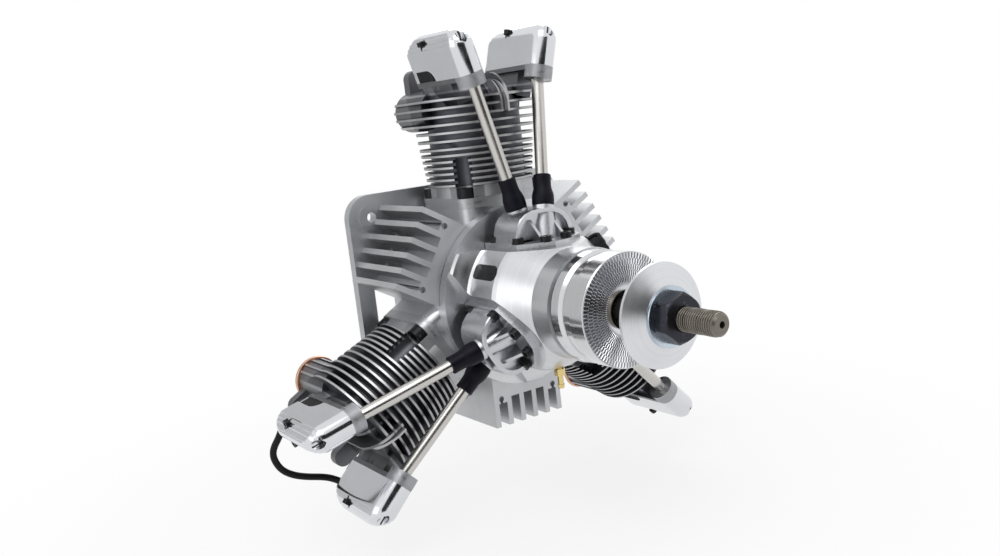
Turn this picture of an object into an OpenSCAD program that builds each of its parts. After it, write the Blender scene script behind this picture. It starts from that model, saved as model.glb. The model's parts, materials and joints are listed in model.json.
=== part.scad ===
// Three-cylinder four-stroke radial engine for a model aircraft.
// The crankshaft runs along X with the propeller end at +X, and cylinder 1 stands along +Z.
// The origin is on the crankshaft axis at the rear face of the mounting plate.
// Cylinder k is turned k - 1 thirds of a turn clockwise as seen from the propeller.

/* [Bore and stroke] */
// Bore of each cylinder
bore_d = 36; // [34:0.5:37]
// Stroke of the pistons
stroke = 29.6; // [28:0.4:30]
// Length of a connecting rod between its eyes
rod_len = 52; // [51:0.5:53]
// Height of the piston crown over its pin
crown_h = 11.5; // [11:0.5:12]
// Running clearance of pistons, journals and stems, on the radius
run_gap = 0.05; // [0.02:0.01:0.08]

/* [Cylinders] */
// Distance from the mounting face to the cylinder axes
cyl_x = 30; // [29.5:0.5:30.5]
// Radius of the cylinder barrel under its fins
barrel_r = 24; // [23:0.5:25]
// Width of the square cylinder foot
foot_w = 50; // [48:1:52]
// Length of the cylinder foot along the crankshaft
foot_l = 43; // [42:0.5:43]
// Thickness of the cylinder foot
foot_t = 5.3; // [4.5:0.1:5.5]
// Height of the first cooling fin over the crankshaft axis
fin_first_r = 58.4; // [58:0.1:59]
// Pitch of the six fins of the barrel
barrel_pitch = 3.02; // [3:0.01:3.1]
// Pitch of the fins of the head
head_pitch = 4.05; // [4:0.01:4.1]
// Number of fins of the head
head_fins = 7; // [6:1:7]
// Thickness of a cooling fin
fin_t = 1.3; // [1:0.1:1.5]
// Radius of the lowest fin
fin_low_r = 27.5; // [26.5:0.5:28]
// Growth of the fin radius per millimetre of height
fin_growth = 0.11; // [0.05:0.01:0.12]

/* [Rocker boxes] */
// Outward tilt of the rocker boxes and valves
box_tilt = 15.5; // [15:0.5:16]
// Sideways place of the rocker box joint line
seam_t = 20.9; // [20.5:0.1:21.2]
// Height of the rocker box joint line over the combustion chamber roof
head_h = 29.9; // [29.5:0.1:30.5]
// Length of a rocker box
box_l = 50; // [49:0.5:51]
// Width of a rocker box
box_w = 13.5; // [13:0.1:14]
// Height of a rocker cover over its joint
cover_h = 22; // [21:0.2:22.4]
// Wall of a rocker cover
cover_wall = 1.4; // [1.2:0.1:1.5]
// Lift of the valves
valve_lift = 2.6; // [2:0.1:2.6]

/* [Crankcase] */
// Outer radius of the crankcase
case_r = 46; // [45.5:0.5:46.5]
// Inner radius of the crank chamber
chamber_r = 38; // [36:0.5:39]
// Distance from the mounting face to the front of the crankcase
case_front_x = 51.6; // [51:0.2:52]
// Outer radius of the nose drum
drum_r = 35.5; // [35:0.5:36]
// Radius of the ring at the front of the nose
nose_ring_r = 26.8; // [26.2:0.1:26.8]
// Distance from the crankshaft axis to the tappet flats
flat_r = 27; // [27:0.1:27.2]

/* [Cooling brackets and plate] */
// Width of a cooling bracket
bracket_w = 42; // [40:0.5:43]
// Height of the bracket fin tips over the crankshaft axis
bracket_tip_r = 67.3; // [66:0.5:68]
// Thickness of a bracket fin
bracket_fin_t = 2.8; // [2.4:0.1:3.2]
// Number of fins on a bracket
bracket_fins = 6; // [5:1:7]
// Thickness of the mounting plate
plate_t = 5.4; // [5:0.2:5.6]
// Width of the mounting plate
plate_w = 132; // [130:1:134]
// Height of the mounting plate
plate_h = 116; // [114:1:117]
// Distance between mounting bolts across the plate
bolt_span_y = 107; // [106:0.5:108]
// Distance between mounting bolts up the plate
bolt_span_z = 92.6; // [92:0.2:93.2]
// Diameter of the mounting bolt holes
bolt_hole_d = 5; // [4.5:0.1:5.5]

/* [Propeller end] */
// Diameter of the threaded shaft end
thread_d = 10; // [9.5:0.5:10]
// Distance from the mounting face to the tip of the shaft
tip_x = 193.8; // [190:0.2:196]
// Radius of the propeller driver
driver_r = 26.2; // [25.5:0.1:26.5]
// Distance from the mounting face to the front of the driver
driver_x = 138.3; // [137.5:0.1:139]
// Radius of the propeller washer
prop_washer_r = 23; // [22:0.5:24]
// Distance from the mounting face to the front of the propeller washer
prop_washer_x = 164.5; // [163:0.5:166]

/* [Hidden] */
$fn = 64;
eps = 0.02;
SIDES = [-1, 1];
CYLINDERS = [1, 2, 3];

// Working values of the crank train
bore_r = bore_d / 2;
throw = stroke / 2;
crankpin_r = 4.5;
wrist_pin_r = 3;
rod_t = 4.2;
rod_pitch = 4.8;
web_x = 38;
web_t = 7;
tdc_pin_r = throw + rod_len;
roof_r = tdc_pin_r + crown_h + 3.7;
seam_r = roof_r + head_h;

// Working values of the cylinders
case_rear_x = 8;
pipe_r = 5;
pipe_wall = 0.8;
pipe_bend = 9.5;
lobe_rear_x = 3;
pipe_x = lobe_rear_x - pipe_bend;
pipe_socket_r = 34;
fin_flat_x = plate_t + 2.6;
pad_r = 46.5;
foot_top_r = pad_r + foot_t;
sleeve_r = 20;
head_top_r = seam_r - 7.9;
head_fin_r = head_top_r - 3.1;
port_t = 19;
port_r = head_top_r - 10;
port_bore_r = 4.5;
plug_lean = 32;
plug_seat = 25;
lobe_t = 20;
lobe_r = head_top_r - 7.5;
exhaust_r = 7.4;
exhaust_depth = 8;
lobe_rad = 11;
foot_screw_x = 16.5;
foot_screw_t = 20;
lug_r = 6.7;
lug_h = 1;
rod_r = 1.5;
rod_place_t = 16.5;
rod_place_r = 52.7;

// Working values of the rocker boxes, in a frame on the joint line
box_rear_x = 20;
box_front_x = box_rear_x + box_l;
pivot_x = 46;
pivot_z = 6.5;
rocker_pin_r = 2;
rocker_end_r = 2.2;
push_end_r = 1.3;
rocker_t = 4.4;
seat_z = 1.7 - head_h;
pocket_z = -6;
stem_r = 1.4;
valve_head_r = 5.5;
tip_gap = 0.05;
retainer_z = 2;

// Working values of the tappet gear
tube_r = 3.1;
tappet_r = 3;
pushrod_r = 1.4;
tube_top = [box_front_x - 6.4, seam_t - 2.5, seam_r - 8.5];
cam_track_x = [70.2, 80.5];
cam_peak_r = 19.6;
cam_base_r = cam_peak_r - valve_lift;
tappet_gap = 0.3;
boss_top_r = 44.6;
boot_top_r = 60.4;

// Cam gears
gear_m = 0.6;
crank_teeth = 24;
idler_teeth = 12;
ring_teeth = crank_teeth + 2 * idler_teeth;
idler_place = gear_m * (crank_teeth + idler_teeth) / 2;
gear_x = 66;
gear_t = 6;
idler_pin_r = 1.4;

// Shaft and bearings
shaft_r = 7.5;
journal_r = 8.5;
cam_journal_r = 6;
rear_bearing_x = 48;
rear_bearing_t = 10;
rear_bearing_r = 17.5;
front_bearing_x = 91;
front_bearing_t = 9;
front_bearing_r = 16;
cavity_r = 24;
nose_front_x = 114;
hub_rear_x = nose_front_x + 0.8;
nut_front_x = prop_washer_x + 12.7;
spigot_r = 25;
spigot_x = 60;
nose_outline = [[case_front_x, 0], [case_front_x, case_r - 0.1], [58.5, 45.8], [60.2, 45], [61, 43.5],
    [61.3, 41], [61.6, 38.5], [62.3, 36.8], [63.6, 35.8], [65, drum_r], [82, drum_r], [84.5, drum_r - 0.8],
    [102, nose_ring_r], [nose_front_x, nose_ring_r], [nose_front_x, 0]];
nipple_x = 82;
sensor_x = 84.5;
sensor_angle = 52;

// Carburettor
carb_x = -28;
air_bore_r = 7.5;
inlet_r = 10;
barrel_valve_r = 9;

// Heights of all the cooling fins
fin_rows = concat([for (i = [0:5]) fin_first_r + i * barrel_pitch],
    [for (i = [head_fins - 1:-1:0]) head_fin_r - i * head_pitch]);
function mirror_t(p, s) = [p[0], s * p[1], p[2]];
function track(s) = cam_track_x[(s + 1) / 2];
// A line from the cam face to the top of a pushrod tube, as start, end and unit direction
function line_start(s) = [track(s), 0, cam_peak_r];
function line_end(s) = mirror_t(tube_top, s);
function line_dir(s) = (line_end(s) - line_start(s)) / norm(line_end(s) - line_start(s));
// Point of that line at a height over the crankshaft axis
function line_at(s, r) = line_start(s) + line_dir(s) * (r - cam_peak_r) / line_dir(s)[2];
// Sideways slope of the pushrod in the rocker box frame
function box_x_at(s, z) = line_at(s, seam_r + z * cos(box_tilt))[0];

// Turns the cylinder frame of x along the shaft, y clockwise and z outwards into place
module at_cylinder(k) { rotate([-120 * (k - 1), 0, 0]) children(); }
module on_each_cylinder() { for (k = CYLINDERS) at_cylinder(k) children(); }
// Rocker box frame: z points out of the joint line, x stays along the shaft
module box_frame(s) { translate([0, s * seam_t, seam_r]) rotate([-s * box_tilt, 0, 0]) children(); }
module along_x(r, x0, x1) { translate([x0, 0, 0]) rotate([0, 90, 0]) cylinder(r = r, h = x1 - x0); }
module ring_x(r_out, r_in, x0, x1) {
    difference() {
        along_x(r_out, x0, x1);
        along_x(r_in, x0 - 1, x1 + 1);
    }
}
// Revolves an outline of [x, radius] points about the crankshaft axis
module revolve_x(points) { rotate([0, 90, 0]) rotate_extrude() polygon([for (p = points) [p[1], p[0]]]); }
// Frame on a pushrod line at a height, with z along the line and x turned away from the lean
module line_frame(s, r0) {
    d = line_dir(s);
    translate(line_at(s, r0)) rotate([0, acos(d[2]), atan2(d[1], d[0])]) rotate([0, 0, 50]) children();
}
// Stands a cylinder on a pushrod line between two heights
module on_line(s, r0, r1, rad0, rad1) {
    line_frame(s, r0) cylinder(r1 = rad0, r2 = rad1, h = (r1 - r0) / line_dir(s)[2]);
}
module rounded_rect(l, w, r) {
    union() {
        square([l - 2 * r, w], center = true);
        square([l, w - 2 * r], center = true);
        for (i = [-1, 1], j = [-1, 1]) translate([i * (l / 2 - r), j * (w / 2 - r)]) circle(r = r);
    }
}
// Socket head cap screw standing on its seat, head up, shank down
module cap_screw(d, head_d, head_h, len) {
    difference() {
        union() {
            cylinder(d = head_d, h = head_h);
            translate([0, 0, -len]) cylinder(d = d, h = len + eps);
        }
        translate([0, 0, head_h * 0.45]) cylinder(d = d * 0.92, h = head_h, $fn = 6);
    }
}

// Spur gear outline with involute flanks drawn as short chords
function inv_point(rb, a) = [rb * (cos(a) + a * PI / 180 * sin(a)), rb * (sin(a) - a * PI / 180 * cos(a))];
function turned(p, a) = [p[0] * cos(a) - p[1] * sin(a), p[0] * sin(a) + p[1] * cos(a)];
function roll_angle(rb, r) = r <= rb ? 0 : sqrt(pow(r / rb, 2) - 1) * 180 / PI;
module gear_outline(teeth, slack, addendum, dedendum) {
    pr = gear_m * teeth / 2;
    rb = pr * cos(20);
    ra = pr + addendum;
    rd = pr - dedendum;
    half = 90 / teeth - slack / pr * 90 / PI;
    ap = roll_angle(rb, pr);
    pp = inv_point(rb, ap);
    off = half + atan2(pp[1], pp[0]);
    rs = max(rb, rd);
    steps = 4;
    flank = [for (i = [0:steps]) let (r = rs + (ra - rs) * i / steps) turned(inv_point(rb, roll_angle(rb, r)), -off)];
    tooth = concat([[rd * cos(-off), rd * sin(-off)]], flank,
        [for (i = [steps:-1:0]) [flank[i][0], -flank[i][1]]], [[rd * cos(off), rd * sin(off)]]);
    polygon([for (n = [0:teeth - 1]) for (p = tooth) turned(p, n * 360 / teeth)]);
}

module crankcase() {
    wall_x = rear_bearing_x + rear_bearing_t;
    color("gainsboro") difference() {
        union() {
            along_x(case_r, case_rear_x, case_front_x);
            along_x(spigot_r, case_front_x - eps, spigot_x);
            on_each_cylinder() translate([cyl_x, 0, 0]) linear_extrude(pad_r) rounded_rect(foot_l, foot_w, 6);
            translate([wall_x, 0, idler_place]) rotate([0, 90, 0]) cylinder(r = 2.4, h = spigot_x + 1 - wall_x);
            translate([wall_x, 0, idler_place]) rotate([0, 90, 0])
                cylinder(r = idler_pin_r, h = gear_x + gear_t + 1 - wall_x);
        }
        along_x(chamber_r, plate_t, rear_bearing_x - 3);
        along_x(rear_bearing_r, rear_bearing_x - 4, wall_x);
        along_x(journal_r + 0.6, plate_t, spigot_x + 2);
        on_each_cylinder() {
            translate([cyl_x, 0, chamber_r / 2]) cylinder(r = sleeve_r + 0.1, h = pad_r);
            for (i = SIDES, j = SIDES) translate([cyl_x + i * foot_screw_x, j * foot_screw_t, pad_r - 8])
                cylinder(d = 5, h = 20);
        }
    }
}

// Bowl that closes the crank chamber at the rear and shares the mixture out to three pipes
module rear_cover() {
    color("gainsboro") difference() {
        union() {
            revolve_x([[-14, 8], [-14, 29], [-12, 32], [-2, 35], [4, 37], [4, case_r - 0.5], [case_rear_x, case_r - 0.5],
                [case_rear_x, chamber_r - 0.1], [case_rear_x + 3, chamber_r - 0.1], [case_rear_x + 3, 30],
                [5.5, 30], [5.5, 0], [1, 0], [1, 27], [-11, 27], [-11, 8]]);
            on_each_cylinder() translate([pipe_x, 0, 29]) cylinder(r = pipe_r + 1.7, h = 11);
        }
        on_each_cylinder() translate([pipe_x, 0, 20]) cylinder(r = pipe_r - pipe_wall, h = 30);
        on_each_cylinder() translate([pipe_x, 0, pipe_socket_r]) cylinder(r = pipe_r + 0.02, h = 30);
        for (a = [30:60:330]) rotate([a, 0, 0]) translate([0, 0, 42]) along_x(1.6, 3, case_rear_x + 1);
    }
}

module mount_plate() {
    color("lightgray") difference() {
        union() {
            rotate([90, 0, 90]) linear_extrude(plate_t) union() {
                rounded_rect(plate_w, plate_h, 12.5);
                translate([0, -plate_h / 2]) rounded_rect(bracket_w, 2 * (bracket_tip_r - plate_h / 2) - 2, 2);
            }
            for (i = SIDES, j = SIDES) translate([0, i * bolt_span_y / 2, j * bolt_span_z / 2])
                along_x(lug_r, 0, plate_t + lug_h);
        }
        along_x(case_r - 0.2, -1, plate_t + 1);
        for (i = SIDES) {
            translate([-1, i * 49 - 8, -24]) cube([plate_t + 2, 16, 34]);
        }
        for (i = SIDES, j = SIDES) translate([0, i * bolt_span_y / 2, j * bolt_span_z / 2])
            along_x(bolt_hole_d / 2, -1, plate_t + 3);
    }
}

module bracket_outline() {
    pitch = (bracket_w - bracket_fin_t) / (bracket_fins - 1);
    difference() {
        translate([-bracket_w / 2, 40]) square([bracket_w, bracket_tip_r - 40]);
        circle(r = case_r + 0.1, $fn = 180);
        for (i = [0:bracket_fins - 2]) {
            edge = i == 0 || i == bracket_fins - 2;
            floor_r = edge ? 55 : 52.6;
            t0 = -bracket_w / 2 + bracket_fin_t + i * pitch;
            translate([t0, floor_r]) square([pitch - bracket_fin_t, 30]);
            if (edge) {
                rod_t = i == 0 ? -rod_place_t : rod_place_t;
                translate([rod_t, rod_place_r]) circle(r = rod_r + 0.05);
                translate([rod_t - 0.8, rod_place_r]) square([1.6, 4]);
            }
        }
    }
}
// Comb of cooling fins that carries the plate from the side of the crankcase
module bracket(phi) {
    color("lightgray") rotate([-phi, 0, 0]) difference() {
        translate([plate_t, 0, 0]) rotate([90, 0, 90]) linear_extrude(case_front_x - plate_t) bracket_outline();
        translate([plate_t + 3, -bracket_w / 2 + 9, 40]) cube([16, bracket_w - 18, 20]);
        rotate([phi, 0, 0]) for (i = SIDES) translate([0, i * bolt_span_y / 2, bolt_span_z / 2])
            along_x(lug_r + 0.3, plate_t - 1, plate_t + lug_h + 0.3);
    }
}

module nose_housing() {
    color("gainsboro") difference() {
        revolve_x(nose_outline);
        along_x(spigot_r + 0.05, case_front_x - 1, spigot_x + 0.05);
        along_x(cavity_r, spigot_x, front_bearing_x - 3);
        along_x(front_bearing_r, front_bearing_x - 4, front_bearing_x + front_bearing_t);
        along_x(shaft_r + 0.6, 80, nose_front_x + 1);
        ring_x(nose_ring_r - 3, 12, nose_front_x - 6, nose_front_x + 1);
        on_each_cylinder() {
            translate([57, -40, flat_r]) cube([80, 80, 30]);
            for (s = SIDES) on_line(s, 19, flat_r + 1, tappet_r + 0.7, tappet_r + 0.7);
            for (p = tappet_screw_places) translate([p[0], p[1], flat_r - 2]) cylinder(d = 3, h = 5);
        }
        rotate([180, 0, 0]) translate([nipple_x, 0, drum_r - 4]) cylinder(d = 3, h = 8);
    }
}

tappet_screw_places = [[62, 15.5], [62, -15.5], [81, 15.5], [81, -15.5], [90.5, 6], [90.5, -6]];
module tappet_housing() {
    difference() {
        union() {
            translate([0, 0, flat_r]) linear_extrude(2.7) polygon([[57.5, -19.2], [84.5, -19.2], [90.5, -11],
                [95, -4], [95, 4], [90.5, 11], [84.5, 19.2], [57.5, 19.2]]);
            difference() {
                for (s = SIDES) on_line(s, flat_r + 1, boss_top_r, 6.2, 5.4);
                translate([50, -40, flat_r - 19.8]) cube([60, 80, 20]);
            }
            intersection() {
                translate([0, 0, flat_r - 2.5]) along_x(18.3, 64.5, 78.4);
                translate([50, -30, flat_r + 1]) cube([50, 60, 30]);
            }
            for (s = SIDES) translate([0, s * 6.6, 0]) rotate([90, 0, 0]) translate([0, 0, -0.8]) linear_extrude(1.6)
                polygon([[66, flat_r + 1], [68, 39.6], [79.6, 39.6], [91.5, flat_r + 1]]);
        }
        for (s = SIDES) on_line(s, 20, boss_top_r + 5, tappet_r + run_gap, tappet_r + run_gap);
        for (p = tappet_screw_places) translate([p[0], p[1], flat_r - 1]) cylinder(d = 3.3, h = 4);
        for (p = tappet_screw_places) translate([p[0], p[1], flat_r + 2.5]) cylinder(d = 6.2, h = 6);
    }
}
module tappet_housings() { color("silver") on_each_cylinder() tappet_housing(); }

// One lobe of the head carries a port to the rear, under slices of the same cooling fins
module port_lobe(s) {
    translate([0, s * lobe_t, lobe_r]) along_x(10.2, lobe_rear_x, cyl_x);
    intersection() {
        translate([0, s * lobe_t, lobe_r]) along_x(lobe_rad, lobe_rear_x, cyl_x);
        union() for (r = fin_rows) translate([0, -60, r - fin_t / 2]) cube([cyl_x, 120, fin_t]);
    }
}
// Floor, collar and tower of one rocker box, in the rocker box frame
module box_base(s) {
    box_mid = (box_rear_x + box_front_x) / 2;
    difference() {
        union() {
            translate([box_mid, 0, -2.4]) linear_extrude(2.4) rounded_rect(box_l, box_w, 6.4);
            translate([box_front_x - 6.9, 0, -6.4]) cylinder(r = box_w / 2 + 0.3, h = 5);
            translate([cyl_x, 0, -24]) cylinder(r = 6.4, h = 22);
            translate([cyl_x - 6, -4.5, -14]) cube([28, 9, 12]);
            for (j = SIDES) translate([pivot_x, j * 4.5, 0]) rotate([90, 0, 0]) linear_extrude(1.4, center = true)
                union() {
                    translate([-4, -1]) square([8, pivot_z + 1]);
                    translate([0, pivot_z]) circle(r = 4);
                }
            translate([pivot_x, 0, pivot_z]) rotate([90, 0, 0]) cylinder(r = rocker_pin_r, h = 9.4, center = true);
        }
        translate([cyl_x, 0, pocket_z]) cylinder(r = 5, h = 10);
        translate([cyl_x, 0, seat_z - 8]) cylinder(r = stem_r + run_gap, h = 40);
        for (p = cover_screw_places) translate([p[0], p[1], -5]) cylinder(d = 2.3, h = 8);
    }
}
// Lifting lug over a port lobe, on a ledge of the head
module lobe_lug(s) {
    translate([lobe_rear_x + 0.6, s * 18.5 - 7, head_top_r - 4]) cube([cyl_x - 8, 14, 3]);
    translate([lobe_rear_x + 0.6, s * 18.5, 0]) rotate([90, 0, 90]) linear_extrude(5.4) union() {
        translate([-4.8, head_top_r - 2]) square([9.6, 11.4]);
        translate([0, head_top_r + 9.2]) circle(r = 4.9);
    }
}
// Upright plate between the rocker boxes with a rounded front corner
module arch_fin(t, front_x, top_r, round_r) {
    translate([0, t + 0.7, 0]) rotate([90, 0, 0]) linear_extrude(1.4) difference() {
        translate([cyl_x - 8, head_top_r - 12]) square([front_x - cyl_x + 8, top_r - head_top_r + 12]);
        difference() {
            translate([front_x - round_r, top_r - round_r]) square([round_r + 1, round_r + 1]);
            translate([front_x - round_r, top_r - round_r]) circle(r = round_r);
        }
    }
}
module plug_place() { translate([cyl_x, 0, roof_r - 2]) rotate([0, -plug_lean, 0]) children(); }
module cylinder_casting() {
    difference() {
        union() {
            translate([cyl_x, 0, pad_r]) linear_extrude(foot_t) rounded_rect(foot_l, foot_w, 6);
            translate([cyl_x, 0, pad_r - 8]) cylinder(r = sleeve_r, h = 11);
            translate([cyl_x, 0, foot_top_r - eps]) cylinder(r = barrel_r, h = head_top_r - foot_top_r);
            translate([cyl_x, 0, foot_top_r - eps]) linear_extrude(6) rounded_rect(2 * barrel_r - 6, 2 * barrel_r - 2, 6);
            intersection() {
                union() for (r = fin_rows) translate([cyl_x, 0, r - fin_t / 2])
                    cylinder(r = fin_low_r + fin_growth * (r - fin_first_r), h = fin_t, $fn = 96);
                translate([fin_flat_x, -50, 0]) cube([100, 100, 200]);
            }
            for (s = SIDES) port_lobe(s);
            for (s = SIDES) box_frame(s) box_base(s);
            for (s = SIDES) lobe_lug(s);
            arch_fin(0, box_front_x - 6.5, seam_r, 14.5);
            for (s = SIDES) arch_fin(s * 4.6, box_front_x - 14, seam_r - 3, 12.5);
        }
        translate([cyl_x, 0, 0]) cylinder(r = bore_r, h = roof_r);
        for (i = SIDES, j = SIDES) translate([cyl_x + i * foot_screw_x, j * foot_screw_t, pad_r - 1]) {
            cylinder(d = 5.4, h = 20);
            translate([0, 0, foot_t + 1]) cylinder(r = 4.8, h = fin_first_r + 4.5 * barrel_pitch - foot_top_r);
        }
        for (s = SIDES) {
            box_frame(s) {
                translate([cyl_x, 0, seat_z - 6]) cylinder(r = valve_head_r + 0.4, h = 6);
                translate([cyl_x, 0, seat_z - 1]) cylinder(r = 4.3, h = 11);
                translate([cyl_x, 0, seat_z - 8]) cylinder(r = stem_r + run_gap, h = 40);
                translate([cyl_x, 0, pocket_z]) cylinder(r = 5, h = 10);
            }
            translate([0, s * port_t, port_r]) along_x(port_bore_r, lobe_rear_x - 2, cyl_x + 3);
            if (s == 1) translate([0, lobe_t, lobe_r]) along_x(exhaust_r, lobe_rear_x - 2, lobe_rear_x + exhaust_depth);
            on_line(s, 60, seam_r + 20, tube_r + 0.05, tube_r + 0.05);
        }
        plug_place() {
            cylinder(d = 6, h = 60);
            translate([0, 0, plug_seat]) cylinder(r = 6.4, h = 30);
        }
    }
}
module cylinder_k(k) { color("darkgray") at_cylinder(k) cylinder_casting(); }

// Cover screws as [x, y, seat height], two at the long sides and one at the front
cover_screw_places = [[box_rear_x + 19.5, -box_w / 2 + 1.6, cover_h - 4.4],
    [box_rear_x + 19.5, box_w / 2 - 1.6, cover_h - 4.4], [box_front_x - 2.4, 0, cover_h - 9]];
// Pressed cover with a stepped crown, screw pockets and a relief low on its outer side
module rocker_cover(s) {
    box_mid = (box_rear_x + box_front_x) / 2;
    difference() {
        translate([box_mid, 0, 0]) union() {
            linear_extrude(cover_h - 4.2) rounded_rect(box_l, box_w, 6.4);
            translate([0.3, 0, cover_h - 4.2 - eps]) linear_extrude(1.5) rounded_rect(box_l - 1.8, box_w - 0.9, 5.9);
            translate([0.6, 0, cover_h - 2.7 - eps]) linear_extrude(1.4) rounded_rect(box_l - 4.2, box_w - 2, 5.4);
            translate([0.9, 0, cover_h - 1.3 - eps]) linear_extrude(1.3) rounded_rect(box_l - 7.4, box_w - 3.8, 4.6);
        }
        difference() {
            translate([box_mid, 0, -1]) linear_extrude(cover_h - 2.4)
                rounded_rect(box_l - 2 * cover_wall, box_w - 2 * cover_wall, 5);
            for (p = cover_screw_places) translate([p[0], p[1], p[2] - 2]) cylinder(r = 3.3, h = 20);
        }
        for (p = cover_screw_places) translate([p[0], p[1], -3]) cylinder(d = 2.3, h = p[2] + 4);
        for (p = cover_screw_places) translate(p) cylinder(d = 4.6, h = 30);
        translate([0, s * (box_w / 2 + 1.2), 0]) rotate([90, 0, 0]) linear_extrude(4, center = true) union() {
            translate([box_rear_x + 17.4, -0.4]) circle(r = 6.2);
            translate([box_rear_x + 4, -8]) square([13.4, 13.8]);
        }
    }
}
// Place at a point with z along a direction, turned so that no seam lies on an edge
module toward(p, d) {
    translate(p) rotate([0, acos(d[2]), atan2(d[1], d[0])]) rotate([0, 0, 50]) children();
}
module rocker_covers_k(k) {
    color("whitesmoke") at_cylinder(k) difference() {
        for (s = SIDES) box_frame(s) rocker_cover(s);
        if (k == 3) for (i = [0, len(HOSE) - 1])
            toward(HOSE[i], hose_way(i)) translate([0, 0, -4]) cylinder(r = hose_r + 0.12, h = 8);
    }
}

module pushrod_tubes() {
    color("silver") on_each_cylinder() for (s = SIDES) difference() {
        on_line(s, boss_top_r + 2.5, seam_r - 4, tube_r, tube_r);
        on_line(s, boss_top_r, seam_r + 5, tube_r - 0.6, tube_r - 0.6);
    }
}
module tube_boots() {
    color([0.08, 0.08, 0.16]) on_each_cylinder() for (s = SIDES) difference() {
        on_line(s, boss_top_r, boot_top_r, 5.15, 4.3);
        on_line(s, boss_top_r - 3, boot_top_r + 3, tube_r, tube_r);
    }
}
module screws_m3() {
    color([0.1, 0.1, 0.11]) on_each_cylinder() {
        for (p = tappet_screw_places) translate([p[0], p[1], flat_r + 2.5]) cap_screw(3, 5.4, 2.9, 4.4);
        for (s = SIDES) box_frame(s) for (p = cover_screw_places) translate(p) cap_screw(2.2, 4.2, 2.3, p[2] + 2);
    }
}
module screws_m4() {
    color([0.5, 0.5, 0.52]) for (phi = [60, 180, 300]) rotate([-phi, 0, 0]) for (s = SIDES)
        translate([0, s * rod_place_t, rod_place_r]) along_x(rod_r, plate_t, case_front_x - 2);
}
module screws_m5() {
    color([0.1, 0.1, 0.11]) on_each_cylinder() for (i = SIDES, j = SIDES)
        translate([cyl_x + i * foot_screw_x, j * foot_screw_t, foot_top_r]) cap_screw(5, 8.5, 5, foot_t + 7.8);
}
// Ball bearing as two rings with a row of balls
module ball_bearing(x, t, r_in, r_out) {
    mid = (r_in + r_out) / 2;
    ball = (r_out - r_in) * 0.28;
    for (w = [[r_out, r_out - (r_out - r_in) * 0.3], [r_in + (r_out - r_in) * 0.3, r_in]]) difference() {
        ring_x(w[0], w[1], x, x + t);
        translate([x + t / 2, 0, 0]) rotate([0, 90, 0]) rotate_extrude() translate([mid, 0]) circle(r = ball + 0.02);
    }
    for (a = [0:40:320]) rotate([a, 0, 0]) translate([x + t / 2, 0, mid]) sphere(r = ball);
}
module main_bearings() {
    color("silver") {
        ball_bearing(rear_bearing_x, rear_bearing_t, journal_r + run_gap, rear_bearing_r);
        ball_bearing(front_bearing_x, front_bearing_t, shaft_r + run_gap, front_bearing_r);
    }
}

module crankshaft() {
    color([0.36, 0.32, 0.28]) difference() {
        union() {
            translate([web_x, 0, 0]) rotate([90, 0, 90]) linear_extrude(web_t) union() {
                translate([0, throw]) circle(r = 8);
                translate([-8, 0]) square([16, throw]);
                circle(r = 11);
                intersection() {
                    circle(r = 26);
                    translate([-26, -26]) square([52, 25]);
                }
            }
            along_x(journal_r, web_x + web_t - eps, spigot_x + 1);
            along_x(cam_journal_r, spigot_x, front_bearing_x - 2);
            translate([gear_x, 0, 0]) rotate([90, 0, 90]) linear_extrude(gear_t) gear_outline(crank_teeth, 0.12, 0.5, 0.72);
            along_x(shaft_r, front_bearing_x - 2, hub_rear_x);
            along_x(cam_journal_r, nose_front_x, prop_washer_x - 6);
            along_x(thread_d / 2, prop_washer_x - 7, nut_front_x - 1);
            along_x(thread_d / 2 - 0.4, nut_front_x - 2, nut_front_x + 1);
            along_x(thread_d / 2, nut_front_x + 0.4, tip_x - 1);
            translate([tip_x - 1 - eps, 0, 0]) rotate([0, 90, 0]) cylinder(r1 = thread_d / 2, r2 = thread_d / 2 - 1, h = 1);
        }
        translate([tip_x - 5, 0, 0]) rotate([0, 90, 0]) cylinder(d = 3, h = 6);
    }
}
module prop_driver() {
    color("whitesmoke") revolve_x([[hub_rear_x, cam_journal_r + eps], [hub_rear_x, 24.5], [116, 26.2],
        [121, 26.2], [122.5, 24.8], [127.5, 24.8], [129, 26.2], [driver_x - 0.6, driver_r], [driver_x, driver_r - 0.5],
        [driver_x, 15.7], [driver_x - 2.6, 12.5], [driver_x - 4, cam_journal_r + 3], [driver_x - 4, cam_journal_r + eps]]);
}
module prop_washer() {
    color("whitesmoke") revolve_x([[prop_washer_x - 7.5, cam_journal_r + eps], [prop_washer_x - 7.5, 20],
        [prop_washer_x - 6, prop_washer_r], [prop_washer_x - 4.6, prop_washer_r], [prop_washer_x, 13.7],
        [prop_washer_x, cam_journal_r + eps]]);
}
module lock_washer() { color("lightsteelblue") ring_x(13.2, thread_d / 2 + 0.2, prop_washer_x, prop_washer_x + 1.2); }
module prop_nut() {
    x = prop_washer_x + 1.2;
    color([0.13, 0.13, 0.15]) difference() {
        union() {
            along_x(11, x, x + 2);
            translate([x + 1, 0, 0]) rotate([0, 90, 0]) cylinder(r = 9.8, h = 6.5, $fn = 6);
            translate([x + 7.5 - eps, 0, 0]) rotate([0, 90, 0]) cylinder(r1 = 8.3, r2 = 6.2, h = nut_front_x - x - 7.5);
        }
        along_x(thread_d / 2 + eps, x - 1, x + 20);
    }
}

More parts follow.
